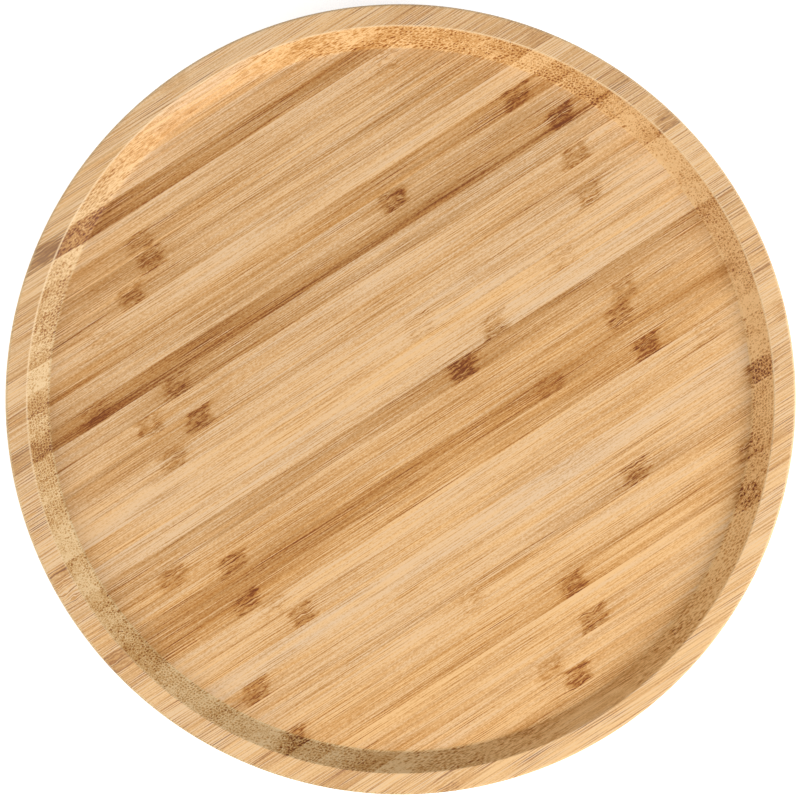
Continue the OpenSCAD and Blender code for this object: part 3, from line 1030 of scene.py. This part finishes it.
def buildThread(size, start, end):
    # a three-sided ridge wound up the shank, rooted a little inside it and running out thin at the tip
    outside, root = size["thread"] / 2, size["thread"] / 2 - thread["depth"] - thread["rooted"]
    half = thread["pitch"] * thread["ridge"]
    deselectAll()
    bpy.ops.mesh.primitive_circle_add(vertices=3, radius=mm, fill_type="NOTHING")
    ridge = bpy.context.object
    for vertex, (r, z) in zip(ridge.data.vertices, [(outside, 0), (root, half), (root, -half)]):
        vertex.co = (r * mm, 0, (start + z) * mm)
    modify(ridge, "wind", "SCREW", axis="Z", screw_offset=thread["pitch"] * mm, steps=thread["steps"],
           render_steps=thread["steps"], iterations=int((end - start) / thread["pitch"]),
           use_merge_vertices=False)
    tip = tipStart(size)
    for vertex in ridge.data.vertices:
        past = max(0, vertex.co.z / mm - tip) / (size["length"] - tip)
        vertex.co.x *= 1 - past
        vertex.co.y *= 1 - past
    startEditing(ridge)
    bpy.ops.mesh.fill_holes(sides=3)
    bpy.ops.mesh.normals_make_consistent(inside=False)
    stopEditing()
    return ridge


def buildScrew(size):
    # head down and tip up, with the head's bearing face at z = 0
    head, tall = size["head"] / 2, size["headHeight"]
    core = size["thread"] / 2 - thread["depth"]
    tip = tipStart(size)
    dome = [(head * share, -tall * (1 - 0.5 * share ** 4)) for share in (0.3, 0.55, 0.72, 0.85, 0.94)]
    side = [(head, -tall * 0.42), (head, -0.15), (head - 0.15, 0)]
    shank = [(core + 0.35, 0), (core + 0.1, 0.1), (core, 0.35), (core, tip), (core * 0.55, tip + 1.6),
             (0.12, size["length"])]
    obj = turned(size["name"], dome + side + shank, thread["steps"])
    cut(obj, crossTool(size), True)
    obj = joined(size["name"], [obj, buildThread(size, thread["start"], size["length"] - thread["end"])])
    smooth(obj, 30)
    return obj


washer = {"outside": 4.0, "hole": 1.7, "thick": 0.6, "edge": 0.12}
foot = {
    "outside": 8.0,
    "bottom": 7.0,           # radius at the table
    "height": base["bottom"],
    "band": 0.6,             # height of the straight side above the taper
    "web": 2.8,              # height of the shelf that the washer bears on
    "well": 4.15,
    "hole": 1.7,
    "soleEdge": 0.6,         # roundings
    "topEdge": 0.25,
    "wellEdge": 0.2,
    "groove": (5.1, 5.9, 0.35),     # inner and outer radius and depth of the ring in the sole
    "grooveSlope": 0.15,
}


def buildWasher():
    ring = [(washer["hole"], 0), (washer["outside"], 0), (washer["outside"], washer["thick"]),
            (washer["hole"], washer["thick"]), (washer["hole"], 0)]
    obj = turned("washer", ring, 40, caps=False)
    bevelSharp(obj, washer["edge"])
    smooth(obj)
    return obj


def buildFoot():
    grooveIn, grooveOut, grooveDeep = foot["groove"]
    slope = foot["grooveSlope"]
    ring = [(foot["well"], 0), (grooveIn, 0), (grooveIn + slope, grooveDeep), (grooveOut - slope, grooveDeep),
            (grooveOut, 0), (foot["bottom"], 0), (foot["outside"], foot["height"] - foot["band"]),
            (foot["outside"], foot["height"]), (foot["hole"], foot["height"]), (foot["hole"], foot["web"]),
            (foot["well"], foot["web"]), (foot["well"], 0)]
    obj = turned("rubberFoot", ring, 48, caps=False)
    roundRing(obj, foot["bottom"], 0, foot["soleEdge"], 4)
    roundRing(obj, foot["outside"], foot["height"], foot["topEdge"], 2)
    roundRing(obj, foot["well"], 0, foot["wellEdge"], 2)
    smooth(obj, 40)
    return obj


screwModel, smallScrewModel = buildScrew(plateScrew), buildScrew(footScrew)
washerModel, footModel = buildWasher(), buildFoot()
for model, material in ((screwModel, screwMetal), (smallScrewModel, screwMetal), (washerModel, washerMetal),
                        (footModel, rubberMaterial)):
    model.data.materials.append(material)
trayUnder, plateTop = tray["bottom"] - bearing["sheet"], base["top"] + bearing["sheet"]
clamped = foot["web"] - washer["thick"]
for n in range(4):
    across, along = 90 * n, base["turn"] + 90 * n
    slotTurn = Matrix.Rotation(radians(37 * n + 20), 4, "Z")     # every screw stops at its own angle
    for model, title, body, slot, move in (
            (screwModel, "tray_screw", "tray", "screw_steel",
             seat(tray["screwRing"], across, trayUnder) @ slotTurn),
            (screwModel, "base_screw", "base", "screw_steel",
             seat(tray["screwRing"], along, plateTop, True) @ slotTurn),
            (smallScrewModel, "foot_screw", "base", "screw_steel",
             seat(base["footRing"], along, clamped) @ slotTurn),
            (washerModel, "foot_washer", "base", "washer_steel", seat(base["footRing"], along, clamped)),
            (footModel, "foot", "base", "rubber", seat(base["footRing"], along, 0))):
        node = "%s_%d" % (title, n + 1)
        handIn(copyTo(model, node + "_look", move), body, node)
for model in (screwModel, smallScrewModel, washerModel, footModel):
    bpy.data.objects.remove(model)
print("screws, washers and feet done")


# floor, light and camera

studio = {
    # for each lamp: direction from +X towards +Y and height in degrees, size in metres, share of the light
    # and colour
    "lamps": {"rightLamp": (-19.0, 31.5, 1.25, 0.54, (1.0, 1.0, 1.04)),
              "leftLamp": (206.0, 29.0, 1.4, 0.28, (1.0, 0.96, 0.89))},
    "lampAway": 2.5,         # metres
    "skyLevel": 0.25,
    "floorGlow": 0.7,
    "lens": 200.0,
    "frameWidth": 353.96,    # mm across the picture at the rim's height
    "aim": (-0.28, -0.27),   # mm, what the camera stands above
    "floorSize": 12.0,       # metres
    "seeTo": 20.0,
}


def isSeen(tree):
    # 1 for what the camera sees itself, mirrored or through glass
    path = newNode(tree, "ShaderNodeLightPath")
    mirrored = path["Is Glossy Ray"].math("MAXIMUM", path["Is Transmission Ray"])
    return mirrored.math("MAXIMUM", path["Is Camera Ray"])


def buildFloor():
    deselectAll()
    bpy.ops.mesh.primitive_plane_add(size=studio["floorSize"], location=(0, 0, 0))
    floor = bpy.context.object
    floor.name = "studioFloor"
    material, tree, shader = newMaterial("studioPaper", Roughness=0.9)
    shader.inputs["Base Color"].default_value = (0.92, 0.92, 0.92, 1)
    shader.inputs["Emission Color"].default_value = (1, 1, 1, 1)
    plug(shader.inputs["Emission Strength"], isSeen(tree) * studio["floorGlow"])
    # seen from below, the floor is clear
    fromBelow = newNode(tree, "ShaderNodeNewGeometry")["Backfacing"]
    clear = newNode(tree, "ShaderNodeBsdfTransparent")[0]
    paper = newNode(tree, "ShaderNodeMixShader", (fromBelow, Wire(tree, shader.outputs[0]), clear))[0]
    plug(tree.nodes["Material Output"].inputs["Surface"], paper)
    floor.data.materials.append(material)


def buildWorld():
    world = bpy.data.worlds.new("studioWorld")
    bpy.context.scene.world = world
    world.use_nodes = True
    tree = world.node_tree
    background = tree.nodes["Background"]
    background.inputs["Color"].default_value = (1, 1, 1, 1)
    plug(background.inputs["Strength"], mixed(isSeen(tree), studio["skyLevel"], 1.0))


def buildLamp(name, turn, rise, size, share, colour):
    # a lamp that gives a level surface that share of the light at which colours render as written
    turn, rise = radians(turn), radians(rise)
    toLight = Vector((cos(rise) * cos(turn), cos(rise) * sin(turn), sin(rise)))
    lamp = bpy.data.lights.new(name, "AREA")
    lamp.shape = "DISK"
    lamp.size = size
    lamp.energy = share * pi ** 2 * studio["lampAway"] ** 2 / sin(rise)
    lamp.color = colour
    light = bpy.data.objects.new(name, lamp)
    bpy.context.scene.collection.objects.link(light)
    light.location = toLight * studio["lampAway"]
    light.rotation_euler = toLight.to_track_quat("Z", "Y").to_euler()
    light.visible_camera = False


def buildCamera():
    data = bpy.data.cameras.new("overheadCamera")
    data.lens = studio["lens"]
    camera = bpy.data.objects.new("overheadCamera", data)
    bpy.context.scene.collection.objects.link(camera)
    away = studio["frameWidth"] * mm * data.lens / data.sensor_width
    camera.location = (*(place * mm for place in studio["aim"]), tray["top"] * mm + away)
    data.clip_end = studio["seeTo"]
    bpy.context.scene.camera = camera


buildFloor()
buildWorld()
for name, setting in studio["lamps"].items():
    buildLamp(name, *setting)
buildCamera()
bpy.context.scene.view_settings.view_transform = "Standard"
print("studio done")
